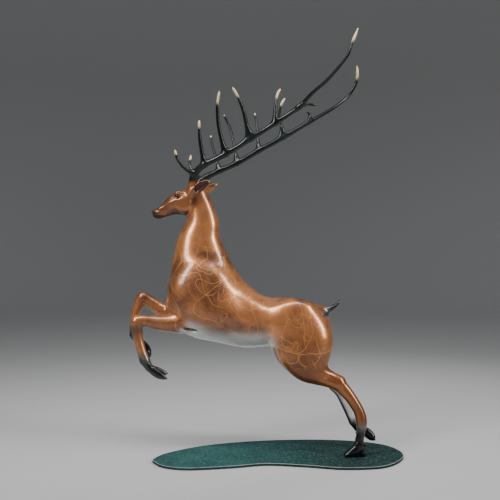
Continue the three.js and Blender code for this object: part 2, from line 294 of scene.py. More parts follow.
@dataclass
class Head:
    """Skull, jaw, muzzle, eyes and ears."""

    eye: Point = (-262.0, 12.0, 384.2)

    def forms(self) -> list[Form]:
        """The head's forms, in the order in which they are blended."""
        skull = in_plane(0, 0.85, [
            (-235, 385, 15, 0.82), (-248, 379.5, 17, 0.8), (-265, 374.5, 14.6, 0.84),
            (-277.5, 367, 10.4, 0.8), (-288, 360.8, 8, 0.8), (-294, 358.6, 6.8, 0.84),
        ])
        jaw = in_plane(0, 0.66, [
            (-238, 371, 14.3), (-252, 368, 12.3), (-266, 366.5, 9.4), (-279, 361.5, 6.8), (-292, 355.5, 4),
        ])
        forms: list[Form] = [Limb(skull, blend=7), Limb(jaw, blend=4)]
        for side in SIDES:
            forms += self.cheek_and_eye(side)
            forms += self.muzzle(side)
        forms += [
            Bead((-298.2, 0, 360.2), (3.4, 5, 3.3), tilt=-30, blend=1.4),
            Bead((-293, 0, 353.4), (6.3, 4.2, 2.4), tilt=-10, blend=1.3),
            *self.ear(Side.NEAR),
            *self.ear(Side.FAR),
        ]
        return forms

    def cheek_and_eye(self, side: int) -> list[Form]:
        """The cheek, brow, socket, eyeball and lids of one side."""
        x, y, z = self.eye
        front, back = (x - 5.4, y - 0.9, z - 1.4), (x + 5.4, y - 0.1, z + 1.2)
        upper_lid = [
            (*front, 0.8), (x - 1.6, y + 1.4, z + 2.8, 1.0), (x + 2.6, y + 1.2, z + 2.9, 1.0), (*back, 0.7),
        ]
        lower_lid = [
            (*front, 0.8), (x - 1.2, y + 1.0, z - 2.9, 0.7), (x + 3.0, y + 1.1, z - 1.6, 0.7), (*back, 0.7),
        ]
        brow = [(x - 6, y - 3.4, z + 3.4, 1.4), (x, y - 1.4, z + 5.3, 1.8), (x + 9, y - 3.4, z + 4.6, 0.7)]
        cheekbone = [
            (x - 27, y - 8.2, z - 18, 1.2), (x - 18, y - 6.4, z - 13.5, 1.4), (x - 7, y - 2.8, z - 7.6, 1.5),
            (x + 6, y - 1.2, z - 5.4, 1.4), (x + 13, y - 3.0, z - 5, 1.0),
        ]
        jaw_edge = [
            (-242, 13.6, 386, 1.3), (-240.6, 13.8, 378, 1.5), (-240.8, 13.0, 369, 1.3),
            (-244, 11.4, 361, 0.7),
        ]
        tear_line = [
            (x - 5, y - 0.6, z - 2.2, 0.6), (x - 8.5, y - 1.6, z - 4.4, 0.6), (x - 11, y - 2.6, z - 5.8, 0.3),
        ]
        return [
            Bead((-251.5, side * 8.2, 370), (12.5, 5.6, 10), tilt=25, blend=4),
            Limb(spread(jaw_edge, side), blend=4, carve=True),
            Limb(spread(brow, side), blend=4),
            Limb(spread(cheekbone, side), blend=5),
            Bead((x, side * (y + 2.2), z), (5.6, 3.0, 3.5), tilt=14, blend=2.2, carve=True),
            Bead((x, side * (y - 0.7), z), (3.5, 3.1, 3.1), blend=0.3),
            Limb(spread(upper_lid, side), blend=0.8),
            Limb(spread(lower_lid, side), blend=0.8),
            Limb(spread(tear_line, side), blend=1.2, carve=True),
        ]

    def muzzle(self, side: int) -> list[Form]:
        """The nostril and the line of the mouth on one side."""
        lips = [
            (-301, 1.5, 355.6, 0.8), (-297, 4.8, 355.2, 1.0), (-289, 6.0, 355.6, 0.8),
            (-281.5, 6.9, 358.2, 0.6),
        ]
        return [
            Bead((-298.6, side * 4.6, 360.4), (3.4, 2.0, 2.4), tilt=-35, blend=1.2),
            Bead((-300.2, side * 5.4, 360.2), (2.2, 1.7, 1.2), tilt=-38, blend=0.6, carve=True),
            Limb(spread(lips, side), blend=0.9, carve=True),
        ]

    def ear(self, side: Side) -> list[Form]:
        """A cupped ear with a thin rim.

        Args:
            side: which ear, as the two are set at slightly different angles.

        Returns:
            The leaf and the hollow that is carved out of its outer face.
        """
        return [Limb(spread(self.leaf(side), side.value, 0.46), blend=2.5), self.hollow(side)]

    def leaf(self, side: Side) -> list[tuple[float, ...]]:
        """Stations (x, y, z, radius) of an ear, from its root to its tip."""
        spine = {
            Side.NEAR: [
                (-240, 12, 389), (-234, 17, 392.5), (-226.5, 21, 398), (-220, 23.5, 402),
                (-215.6, 24.5, 404.5),
            ],
            Side.FAR: [
                (-236, 12, 388), (-229, 17, 391.5), (-220.5, 21, 396), (-212, 23.5, 401),
                (-206, 24.5, 404.6),
            ],
        }[side]
        return [(*point, radius) for point, radius in zip(spine, (3.6, 5.6, 6.8, 5.4, 1.9))]

    def hollow(self, side: Side) -> Limb:
        """The hollow that is carved out of an ear's outer face."""
        hollow = [(x, y + 2.5, z, max(0.8 * radius, radius - 1.3)) for x, y, z, radius in self.leaf(side)[1:]]
        hollow[-1] = (*hollow[-1][:3], 0.8)
        return Limb(spread(hollow, side.value, 0.5), blend=0.6, carve=True)


@dataclass
class Legs:
    """Four legs, each with its joints, pastern, dewclaws and cloven hoof."""

    toe_gap: float = 2.7
    toe_spread: float = 4.8

    def hoof(self, y: float, toe: Sequence[Sequence[float]]) -> list[Form]:
        """Two pointed toes side by side.

        Args:
            y: the leg's distance from the middle plane.
            toe: (x, z, radius, lift) from the coronet to the tip, where one toe is lifted by it and the
                other is lowered.

        Returns:
            The two toes.
        """
        toes: list[Form] = []
        for side in SIDES:
            stations = []
            for i, (x, z, radius, lift) in enumerate(toe):
                apart = self.toe_gap + (self.toe_spread - self.toe_gap) * i / (len(toe) - 1)
                stations.append((x, y + side * apart, z + side * lift, radius, min(1.0, 4.1 / radius)))
            toes.append(Limb(stations, blend=0.9))
        return toes

    def dewclaws(self, x: float, y: float, z: float) -> list[Form]:
        """The two small claws behind a fetlock."""
        return [Bead((x, y + side * 3.7, z), (2.4, 2.1, 3), tilt=-20, blend=0.8) for side in SIDES]

    def hock_hollows(self, y: float) -> list[Form]:
        """The hollows before the tendon of a hind leg, one on each side of it."""
        hollow = [(-48, 12.4, 121.8, 1.0), (-39, 9.7, 116.4, 2.4), (-26, 9.4, 111.2, 1.0)]
        return [
            Limb([(x, y + side * out, z, radius, 1.0) for x, out, z, radius in hollow], blend=4.5, carve=True)
            for side in SIDES
        ]

    def near_hind(self) -> list[Form]:
        """The standing leg."""
        y = -HIND_SPACING
        thigh = in_plane(y + 2, 0.6, [
            (-86, 198, 34, 0.46), (-76, 172, 42, 0.5), (-73, 154, 36.5, 0.56), (-69, 142, 28),
        ])
        gaskin = in_plane(y, 0.72, [
            (-88, 152, 23), (-72, 134, 22.5), (-57, 123, 17), (-41, 115, 12.6, 0.66), (-25, 108, 10.4),
        ])
        cannon = in_plane(y, 0.82, [
            (-25, 108.4, 10.4, 0.7), (-16, 98, 9.6, 0.7), (-6, 86, 8.4), (5.5, 67, 8.1), (9.5, 51, 8.3, 0.92),
            (8.8, 37, 6.2, 1), (6.5, 25, 6.6, 1),
        ])
        return [
            Limb(thigh, blend=16), Limb(gaskin, blend=6), Limb(cannon, blend=3.5),
            Limb(in_plane(y, 0.7, [(-52, 130, 5), (-34, 120, 4.6), (-20, 113, 4.4)]), blend=4),
            *self.hock_hollows(y),
            *self.hoof(y, [(6, 19, 6.6, 0), (4, 10, 9.4, 0), (-5, 5.8, 6.4, 0), (-13.5, 3.0, 2.9, 0)]),
            Bead((10.5, y, 4.5), (5.6, 6.2, 6.4), blend=2),
            *self.dewclaws(13.2, y, 18.5),
        ]

    def far_hind(self) -> list[Form]:
        """The raised leg, curled back over the plate."""
        y = HIND_SPACING
        thigh = in_plane(y - 2, 0.6, [
            (-94, 197, 33, 0.46), (-86, 170, 38.5, 0.5), (-80, 147, 31), (-76, 136, 25),
        ])
        gaskin = in_plane(y, 0.72, [(-90, 147, 23), (-70, 127, 21), (-54, 117.5, 15), (-35, 109, 11.3, 0.68)])
        cannon = in_plane(y, 0.82, [
            (-35, 109.2, 11.2, 0.7), (-25.5, 98, 10, 0.72), (-16, 87, 9), (-6, 67, 8.4), (4.5, 43, 8.1, 0.92),
        ])
        pastern = in_plane(y, 1, [(4.5, 43, 7.7), (12, 31, 6.3), (22, 26.5, 6.2)])
        return [
            Limb(thigh, blend=16), Limb(gaskin, blend=6), Limb(cannon, blend=3.5), Limb(pastern, blend=2.5),
            *self.hoof(y, [(21, 27, 6.3, 0), (24, 25, 6.8, 0), (30, 20, 6.2, 0), (35, 15.2, 1.8, 0)]),
            *self.dewclaws(9.5, y, 24.5),
        ]

    def near_fore(self) -> list[Form]:
        """The folded foreleg on the camera's side."""
        y = -FORE_SPACING
        upper = in_plane(y + 4, 0.58, [
            (-228, 236, 28, 0.44), (-236, 220, 25), (-248, 206, 18), (-261, 196.5, 13.4, 0.76),
        ])
        forearm = in_plane(y, 0.8, [
            (-259, 196, 13.4), (-280, 196, 12.1), (-295, 197.5, 10.4), (-309.5, 199.5, 8.9),
            (-321, 198.5, 9.4),
        ])
        cannon = in_plane(y, 0.88, [
            (-321.3, 198, 9.5), (-321.2, 184, 8.3), (-319, 170, 7.2), (-314, 152.5, 7.2), (-310, 141, 7.9),
        ])
        toe = [(-298, 126.8, 5.8, 0.3), (-295, 125, 6.2, 0.8), (-287, 121, 5.6, 1.8), (-277.5, 118, 1.6, 3.2)]
        pastern = in_plane(y, 1, [(-310, 141, 7.3), (-303.5, 130.5, 6.2), (-297, 126, 6)])
        return [
            Limb(upper, blend=13), Limb(forearm, blend=5),
            Bead((-257.5, y + 1, 190.5), (12, 8, 9), tilt=-8, blend=4),
            Bead((-242.5, y - 1, 187), (11, 8.5, 1.8), tilt=-8, blend=5, carve=True),
            Limb(cannon, blend=3), Limb(pastern, blend=2.5),
            *self.hoof(y, toe),
            *self.dewclaws(-301.8, y, 133.8),
            *self.dewclaws(-296.5, y, 129.2),
        ]

    def far_fore(self) -> list[Form]:
        """The folded foreleg on the other side, held higher."""
        y = FORE_SPACING
        upper = in_plane(y - 4, 0.58, [(-236, 236, 27, 0.44), (-248, 218, 23), (-266, 206, 14.5, 0.78)])
        forearm = in_plane(y, 0.84, [
            (-264, 206, 14), (-289, 213.5, 10.8), (-303, 222.5, 9.6), (-317, 230.8, 9.4),
        ])
        cannon = in_plane(y, 0.88, [
            (-317.5, 231.2, 9.4), (-322.5, 224, 8.5), (-328, 209.5, 7.1), (-331, 190, 6.8),
            (-330.5, 174.5, 7.3),
        ])
        toe = [
            (-318.5, 160.5, 5.7, 0.2), (-316, 157.5, 6, 0.4), (-311, 150.5, 5.4, 0.7), (-306.5, 143, 1.6, 1),
        ]
        pastern = in_plane(y, 1, [(-330.4, 174.5, 6.9), (-323.5, 164, 6), (-317.5, 159, 5.7)])
        return [
            Limb(upper, blend=13), Limb(forearm, blend=5), Limb(cannon, blend=3), Limb(pastern, blend=2.5),
            *self.hoof(y, toe),
            *self.dewclaws(-321, y, 169.5),
        ]

    def forms(self) -> list[Form]:
        """The forms of all four legs."""
        return [*self.near_hind(), *self.far_hind(), *self.near_fore(), *self.far_fore()]


@dataclass
class Antler:
    """One antler: a beam of (x, y, z, radius) stations, and tines of (x, y, z) points with webbed roots.

    The lengths of its ivory tips are given for the beam and then for each tine.
    """

    side: Side
    beam: Sequence[Sequence[float]]
    tines: Sequence[Sequence[Point]]
    ivory: Sequence[float]
    webs: Sequence[float]
    stoutness: float = 1.0

    def tips(self) -> list[tuple[Array, float]]:
        """The last point of the beam and of each tine, on the antler's own side, and its length of ivory."""
        ends = [self.beam[-1][:3], *(tine[-1] for tine in self.tines)]
        return [(np.array((x, self.side.value * y, z)), long) for (x, y, z), long in zip(ends, self.ivory)]

    def tine(self, points: Sequence[Point]) -> Limb:
        """A tine that thins out of its root, has a slender neck, swells and ends bluntly."""
        dense = smooth_stations(points, 5)
        steps = np.linalg.norm(np.diff(dense, axis=0), axis=1)
        to_tip = np.append(np.cumsum(steps[::-1])[::-1], 0.0)
        long = to_tip[0]
        places = [0, 1.6, 5, 9, 15, 0.75 * long + 4, long + 4.1]
        radii = np.interp(to_tip, places, [0.8, 1.6, 2.2, 2.1, 1.9, 2.5, 3.7])
        radii *= np.interp(to_tip, [12, 26], [1.0, self.stoutness])
        stations = [(*point, radius) for point, radius in zip(dense, radii)]
        return Limb(spread(stations, self.side.value), blend=4, steps=1)

    def web(self, points: Sequence[Point], reach: float) -> list[Form]:
        """The two flared webs between a tine's root and the beam.

        Args:
            points: the tine's points.
            reach: how far the webs reach along the beam, where 0 means that the root has none.

        Returns:
            Two slender struts, which the blend fills out to webs.
        """
        if not reach:
            return []
        root, above = np.array(points[0]), np.array(points[1])
        beam = smooth_stations([station[:3] for station in self.beam], 6)
        nearest = int(np.argmin(np.linalg.norm(beam - root, axis=1)))
        along = beam[nearest + 2] - beam[nearest - 2]
        along /= np.linalg.norm(along)
        rise = (above - root) / np.linalg.norm(above - root)
        struts: list[Form] = []
        for way in SIDES:
            foot = root + way * reach * along
            middle = root + way * 0.34 * reach * along + 0.36 * reach * rise
            top = root + 1.15 * reach * rise
            stations = [(*foot, 2.4), (*middle, 2.3), (*top, 1.7)]
            struts.append(Limb(spread(stations, self.side.value), blend=3.5))
        return struts

    def forms(self) -> list[Form]:
        """The beam, then its tines with their webs."""
        forms: list[Form] = [Limb(spread(self.beam, self.side.value), blend=4)]
        for points, reach in zip(self.tines, self.webs):
            forms += [self.tine(points), *self.web(points, reach)]
        return forms


def near_antler() -> Antler:
    """The antler on the camera's side."""
    return Antler(
        Side.NEAR,
        beam=[
            (-242, 8, 388, 7.2), (-240.5, 10, 402, 5.9), (-239, 12, 412, 5.4), (-234, 16, 420, 5.3),
            (-221, 22, 430, 4.6), (-192, 27, 444, 4.3), (-155, 32, 466, 4.1), (-118, 36, 489, 3.7),
            (-84, 45, 511, 3.4), (-65, 58, 529, 2.8), (-43, 73, 547, 2.5), (-19, 88, 575, 2.2),
            (-12, 89, 593, 2.1), (-7, 88.6, 605, 2.1), (-3, 88, 615.2, 0.9),
        ],
        ivory=(21, 7, 11, 18, 15, 15, 0),
        stoutness=1.28,
        webs=(7, 9, 12, 15, 9, 7),
        tines=[
            [(-236, 14, 417), (-245, 17, 421), (-255, 20, 429), (-262, 22, 439), (-265, 24, 451)],
            [(-222, 21, 430), (-225, 24, 446), (-228, 27, 465), (-229, 29, 480), (-229, 30, 494)],
            [(-190, 27, 445), (-196, 29, 465), (-201, 32, 491), (-202, 35, 517), (-199, 36, 536)],
            [(-154, 32, 467), (-159, 36, 485), (-164, 41, 506), (-171, 45, 524), (-179.5, 48, 539)],
            [(-118, 36, 489), (-118, 36, 504), (-117, 35, 518), (-114.5, 33, 531), (-110, 32, 540)],
            [(-84, 45, 511), (-76, 43, 515), (-67, 40, 516), (-57.5, 38, 514.5)],
        ],
    )


def far_antler() -> Antler:
    """The antler on the other side, which the head's tilt sets lower and further back."""
    return Antler(
        Side.FAR,
        beam=[
            (-236, 8, 388, 7.2), (-232, 12, 401, 6), (-229.5, 14, 408, 5.5), (-221, 17, 414.5, 5.3),
            (-202.5, 23, 424, 4.6), (-174, 28, 437, 4.4), (-142, 33, 456, 4.3), (-104, 37, 477, 4),
            (-64, 46, 502, 3.5), (-24, 75, 528, 2.7), (0, 90, 548, 2.4), (13, 92, 566, 2.4),
            (16.9, 90, 580, 2.3), (17.2, 89, 589, 2.4), (16.5, 88, 598, 0.9),
        ],
        ivory=(21, 8, 3, 3, 4, 13, 0),
        webs=(6, 7, 9, 8, 14, 6),
        tines=[
            [(-229, 14, 409), (-237, 19, 419), (-244, 23, 428), (-247, 26, 437), (-244.5, 28, 449)],
            [(-201, 23, 425), (-205, 27, 439), (-209, 31, 453), (-213, 34, 468), (-215, 36, 480)],
            [(-174, 28, 437), (-178, 33, 460), (-182, 38, 481), (-188, 42, 499), (-195, 44, 514)],
            [(-141, 33, 457), (-142, 39, 475), (-143, 44, 491), (-145, 48, 505), (-147, 50, 517)],
            [(-104, 37, 477), (-106, 37, 498), (-109, 37, 512), (-107, 36, 526), (-101, 36, 537.5)],
            [(-64, 46, 502), (-61.5, 45, 509), (-63, 44, 515.5), (-67.5, 44, 519)],
        ],
    )


@dataclass
class Skin:
    """The figure's single skin, blended from its forms in their order."""

    forms: list[Form]

    def merge(self, form: Form, value: Array, points: Array) -> Array:
        """Blends one form into the distances found so far, or carves it out of them."""
        away = form.distance(points)
        if form.carve:
            away = -away
            value, away = -value, -away
        overlap = np.maximum(form.blend - np.abs(value - away), 0.0) / form.blend
        merged = np.minimum(value, away) - overlap * overlap * form.blend / 4
        return -merged if form.carve else merged

    def value(self, points: Array) -> Array:
        """The distance of each point from the skin.

        Args:
            points: one row of x, y and z for each point.

        Returns:
            The distances, negative inside, and cut off at FAR outside.
        """
        points = points.astype(np.float32)
        result = np.full(len(points), FAR, dtype=np.float32)
        for form in self.forms:
            low, high = self.bounds(form)
            near = np.all((points > low) & (points < high), axis=1).nonzero()[0]
            if len(near):
                result[near] = self.merge(form, result[near], points[near])
        return np.maximum(result, -points[:, 2])

    def grid_values(self, axes: Sequence[Array]) -> Array:
        """The distances on a grid.

        Args:
            axes: the grid's places along x, y and z.

        Returns:
            One distance for each crossing.
        """
        values = np.full([len(axis) for axis in axes], FAR, dtype=np.float32)
        for form in self.forms:
            low, high = self.bounds(form)
            cuts = tuple(
                slice(np.searchsorted(axis, low[k]), np.searchsorted(axis, high[k]))
                for k, axis in enumerate(axes)
            )
            block = values[cuts]
            places = np.meshgrid(*(axis[cut] for axis, cut in zip(axes, cuts)), indexing="ij")
            points = np.stack([place.ravel() for place in places], axis=1).astype(np.float32)
            values[cuts] = self.merge(form, block.ravel(), points).reshape(block.shape)
        return np.maximum(values, -axes[2].astype(np.float32)[None, None, :])

    def bounds(self, form: Form) -> tuple[Array, Array]:
        """The corners of the box in which a form has a say, with room for its blend."""
        low, high = form.reach()
        room = max(FAR, form.blend + 2.0)
        return low - room, high + room

    def rises(self, points: Array, reach: Array | float) -> Array:
        """How much the distance rises along x, y and z, from reach before each point to reach past it."""
        return np.stack([
            self.value(points + reach * step) - self.value(points - reach * step) for step in np.eye(3)
        ], axis=1)

    def normals(self, points: Array, reach: Array) -> Array:
        """The outward direction of the skin at each point.

        Args:
            points: places on the skin.
            reach: how far around each point its direction is taken, which softens slight creases.

        Returns:
            One unit direction for each point.
        """
        rises = self.rises(points, reach[:, None])
        return rises / np.maximum(np.linalg.norm(rises, axis=1, keepdims=True), 1e-9)

    def settle(self, points: Array, rounds: int = 2, most: float = 0.8, reach: float = 0.25) -> Array:
        """Moves points onto the skin.

        Args:
            points: places close to the skin.
            rounds: how often they are moved.
            most: the furthest that one round moves a point.
            reach: how far around each point the slope of the distances is taken.

        Returns:
            The moved points.
        """
        for _ in range(rounds):
            slopes = self.rises(points, reach) / (2 * reach)
            steep = np.maximum((slopes**2).sum(axis=1), LEAST_SLOPE)
            shift = (self.value(points) / steep)[:, None] * slopes
            length = np.maximum(np.linalg.norm(shift, axis=1, keepdims=True), 1e-9)
            points = points - shift * np.minimum(1.0, most / length)
        return points


def graded_axis(stretches: Sequence[tuple[float, float, float]]) -> Array:
    """Places along an axis with a spacing for each stretch, given as (start, end, spacing)."""
    places = [np.arange(start, end, spacing) for start, end, spacing in stretches]
    return np.concatenate([*places, [stretches[-1][1]]])


def net_surface(values: Array, axes: Sequence[Array]) -> tuple[Array, Array]:
    """Draws a net of four-sided faces over the zero level of a grid of distances.

    Args:
        values: one distance for each crossing of the grid.
        axes: the grid's places along x, y and z.

    Returns:
        The net's points, and four indices for each face, which face outwards.
    """
    inside = values < 0
    corners = [(i, j, k) for i in (0, 1) for j in (0, 1) for k in (0, 1)]
    cell_shape = tuple(n - 1 for n in inside.shape)

    def shifted(grid: Array, corner: tuple[int, int, int]) -> Array:
        """The grid as each cell's given corner sees it."""
        return grid[tuple(slice(c, c + n) for c, n in zip(corner, cell_shape))]

    count = np.zeros(cell_shape, dtype=np.int8)
    for corner in corners:
        count += shifted(inside, corner)
    cells = np.nonzero((count > 0) & (count < 8))
    ids = np.full(cell_shape, -1, dtype=np.int32)
    ids[cells] = np.arange(len(cells[0]))

    total = np.zeros((len(cells[0]), 3))
    crossed = np.zeros(len(cells[0]))
    for corner in corners:
        for along in range(3):
            if corner[along]:
                continue
            start = tuple(cell + c for cell, c in zip(cells, corner))
            end = tuple(place + (1 if k == along else 0) for k, place in enumerate(start))
            from_value, to_value = values[start], values[end]
            cut = (from_value < 0) != (to_value < 0)
            share = np.where(cut, from_value / np.where(cut, from_value - to_value, 1.0), 0.0)
            place = np.stack([axes[k][start[k]] for k in range(3)], axis=1)
            place[:, along] += share * (axes[along][end[along]] - axes[along][start[along]])
            total += place * cut[:, None]
            crossed += cut
    points = total / crossed[:, None]

    faces = []
    for along in range(3):
        one, two = (along + 1) % 3, (along + 2) % 3
        low = tuple(slice(0, -1) if k == along else slice(1, -1) for k in range(3))
        high = tuple(slice(1, None) if k == along else slice(1, -1) for k in range(3))
        changes = inside[low] != inside[high]
        at = [index + (0 if k == along else 1) for k, index in enumerate(np.nonzero(changes))]
        leaving = inside[tuple(at)]

        def cell(back_one: int, back_two: int) -> Array:
            """The net point of a cell beside each crossed edge."""
            place = list(at)
            place[one] = place[one] - back_one
            place[two] = place[two] - back_two
            return ids[tuple(place)]

        ring = np.stack([cell(1, 1), cell(0, 1), cell(0, 0), cell(1, 0)], axis=1)
        faces.append(np.where(leaving[:, None], ring, ring[:, ::-1]))
    return points, np.concatenate(faces)


@dataclass
class Stag:
    """The cast figure: its skin as one mesh, with the regions that its finish reads."""

    most_triangles: int = 190_000
    antlers: tuple[Antler, Antler] = field(default_factory=lambda: (near_antler(), far_antler()))

    def skin(self) -> Skin:
        """The figure's skin, from the trunk outwards."""
        forms = [*Trunk().forms(), *Legs().forms(), *Head().forms()]
        for antler in self.antlers:
            forms += antler.forms()
        return Skin(forms)

    def net(self, skin: Skin) -> tuple[Array, Array]:
        """The skin's net, finest at the head and hooves."""
        axes = (
            graded_axis([(-345, -302, 1.7), (-302, -205, 0.9), (-205, 41, 1.8)]),
            graded_axis([(-99, -33, 1.5), (-33, 33, 1.2), (33, 101, 1.5)]),
            graded_axis([(-2.4, 32, 1.1), (32, 344, 1.8), (344, 412, 0.85), (412, 622, 1.4)]),
        )
        return net_surface(skin.grid_values(axes), axes)

    def softness(self, points: Array) -> Array:
        """How far around each point the skin's direction is taken: further on the body than on fine work."""
        x, _, z = points.T
        body = smooth_step(z, 132, 156) * smooth_step(z, 366, 340) * smooth_step(x, -282, -258)
        return 0.3 + 2.5 * body + 0.5 * smooth_step(z, 40, 60) * smooth_step(z, 366, 356)

    def pale_share(self, points: Array, normals: Array) -> Array:
        """The pale patina of the belly, the elbow and the raised leg's inner side."""
        x, y, z = points.T
        belly_x, belly_z = [-262, -245, -215, -187, -150, -118, -100], [184, 176, 165, 159, 157, 158, 164]
        above_belly = z - np.interp(x, belly_x, belly_z)
        pale = smooth_step(above_belly, 38, 5) * smooth_step(x, -256, -240) * smooth_step(x, -106, -134)
        elbow = np.exp(-(((x + 252) / 9) ** 2 + ((z - 184) / 6) ** 2)) * smooth_step(z, 195, 188)
        pale = np.maximum(pale, elbow) * smooth_step(z, 130, 142)
        inward = normals[:, 1] - 0.45 * normals[:, 0]
        inner_hind = smooth_step(x, -40, -24) * (y > 8) * smooth_step(inward, -0.2, -0.75)
        return np.maximum(pale, 0.85 * inner_hind * smooth_step(z, 112, 96) * smooth_step(z, 34, 50))

    def sock_share(self, points: Array, normals: Array) -> Array:
        """The dark lower legs, the raised hind leg's shin and the end of the tail."""
        x, y, z = points.T
        hind = smooth_step(z, 56, 30) * smooth_step(x, -60, -40)
        shin = smooth_step(normals[:, 0], -0.3, -0.8) * smooth_step(z, 90, 66) * (y > 8)
        hind = np.maximum(hind, 0.9 * shin * smooth_step(x, -40, -24))
        near_fore = smooth_step(z + 0.5 * (x + 312), 160, 132) * (y < 0)
        far_fore = smooth_step(z, 205, 166) * (y >= 0)
        legs = np.maximum(hind, (near_fore + far_fore) * smooth_step(x, -262, -272))
        tail = smooth_step(x - 0.6 * (z - 214), -50, -32) * smooth_step(z, 203, 208) * (x > -60)
        return np.maximum(legs, 0.85 * tail)

    def dark_and_shade_share(self, points: Array, normals: Array) -> Array:
        """The dark muzzle, chin, ears and eyes, the throat under the jaw partly dark and partly in painted
        shade, and a painted shadow behind the jaw.
        """
        x, y, z = points.T
        muzzle = smooth_step(x + 0.5 * (z - 357), -287, -298) * 0.95 * (z > 340)
        chin = smooth_step(z, 358.5, 355) * smooth_step(x, -276, -287) * (z > 340)
        # The downward faces under the jaw: their own dark edge together with painted shade, as if no light
        # came up from below.
        downward = smooth_step(normals[:, 2], -0.3, -0.8)
        under_jaw_dark_and_shade = downward * smooth_step(z, 340, 350) * smooth_step(x, -240, -248)
        # A painted shadow on the side of the head behind the jaw, below the ear.
        behind_jaw_shadow = np.exp(-(((x + 237.5) / 5.5) ** 2 + ((z - 378) / 9) ** 2)) * (np.abs(y) > 6)
        hollows = [Head().hollow(side).distance(points.astype(np.float32)) for side in Side]
        ear = smooth_step(np.minimum(*hollows), 1.1, 0.3) * (z > 380) * (np.abs(y) > 14)
        ear_rim = smooth_step(z, 397, 403) * (z < 410) * (y > 15) * (x > -222) * (x < -200)
        ear = np.maximum(ear, 0.8 * ear_rim)
        eye = np.exp(-(((x + 263) / 5.2) ** 2 + ((z - 384) / 3.1) ** 2) ** 2) * (np.abs(y) > 8)
        return np.maximum.reduce([muzzle, 0.95 * chin, 0.9 * under_jaw_dark_and_shade, 0.8 * behind_jaw_shadow, 0.9 * ear, eye])

    def tip_share(self, points: Array) -> Array:
        """The ivory ends of the beams and tines."""
        share = np.zeros(len(points))
        for tip, long in (end for antler in self.antlers for end in antler.tips() if end[1]):
            away = np.linalg.norm(points - tip, axis=1)
            share = np.maximum(share, smooth_step(away, long * 1.2, long * 0.75))
        return share

    def regions(self, points: Array, normals: Array) -> dict[Region, Array]:
        """How much of each finish lies at each point.

        Args:
            points: the skin's points, in the figure's millimetres.
            normals: the outward directions there.

        Returns:
            A number from 0 to 1 for each point, by region.
        """
        x, y, z = points.T
        pale = self.pale_share(points, normals)
        antler = smooth_step(z, 397, 413) * (1 - (np.abs(y) > 17) * (z < 408) * (x > -243))
        coat = smooth_step(z, 124, 138) * smooth_step(z, 368, 340) * smooth_step(x, -282, -268) * (1 - pale)
        return {
            Region.PALE: pale,
            Region.SOCK: self.sock_share(points, normals),
            Region.DARK: self.dark_and_shade_share(points, normals),
            Region.ANTLER: antler,
            Region.TIP: self.tip_share(points),
            Region.COAT: coat,
        }

    def build(self, place: Vector) -> bpy.types.Object:
        """Makes the stag's piece.

        Args:
            place: where the figure's own origin lies in the frame, in metres.

        Returns:
            The piece, at the origin and with its place in its mesh.
        """
        skin = self.skin()
        points, faces = self.net(skin)
        LOG.info("net of %d points", len(points))
        mesh = bpy.data.meshes.new("net")
        mesh.from_pydata(points.tolist(), [], faces.tolist())
        draft = link_object("net", mesh)
        triangles = 2 * len(faces)
        if triangles > self.most_triangles:
            thin = draft.modifiers.new("thin", "DECIMATE")
            thin.ratio = self.most_triangles / triangles
        thinned = evaluated_mesh(draft)
        bpy.data.objects.remove(draft)
        flat = np.empty(len(thinned.vertices) * 3)
        thinned.vertices.foreach_get("co", flat)
        points = skin.settle(flat.reshape(-1, 3))
        points[:, 2] = np.maximum(points[:, 2], 0.0)
        normals = skin.normals(points, self.softness(points))
        placed = points * MM + np.array(place)
        thinned.vertices.foreach_set("co", placed.ravel())
        thinned.shade_smooth()
        for region, share in self.regions(points, normals).items():
            layer = thinned.attributes.new(region.value, "FLOAT", "POINT")
            layer.data.foreach_set("value", share.astype(np.float32))
        thinned.normals_split_custom_set_from_vertices(normals.tolist())
        thinned.update()
        thinned.name = "stag_skin"
        piece = link_object("stag_skin", thinned)
        LOG.info("stag_skin: %d faces", len(thinned.polygons))
        return piece


